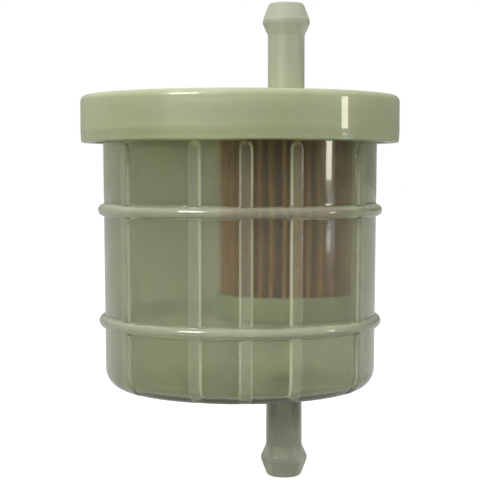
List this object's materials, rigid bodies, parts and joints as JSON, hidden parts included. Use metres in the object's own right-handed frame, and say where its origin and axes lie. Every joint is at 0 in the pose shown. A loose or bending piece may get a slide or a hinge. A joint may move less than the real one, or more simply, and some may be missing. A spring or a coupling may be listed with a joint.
{
  "type": "fuel filter",
  "caption": "Disposable in-line fuel filter: a wide cap and a ribbed translucent bowl, each with a barbed hose spigot, around a pleated paper element.",
  "frame": {"origin": "on the bowl's axis, halfway between the tips of the two spigots", "axes": "+Z along the bowl's axis towards the outlet spigot; +X from the bowl's axis towards the inlet spigot; the side seen from -Y carries five ribs"},
  "size_m": [0.0686, 0.0686, 0.102],
  "materials": {
    "bowl": "satin",
    "cap": "satin",
    "weld": "satin",
    "end_plate": "satin",
    "adhesive": "satin",
    "paper": "matte"
  },
  "bodies": {
    "root": {"bowl": "bowl", "inlet_spigot": "bowl", "cap": "cap", "outlet_spigot": "cap", "weld_bead": "weld", "upper_end_plate": "end_plate", "upper_bond": "adhesive", "filter_paper": "paper", "paper_seam": "adhesive", "lower_bond": "adhesive", "lower_end_dish": "end_plate"}
  },
  "joints": []
}
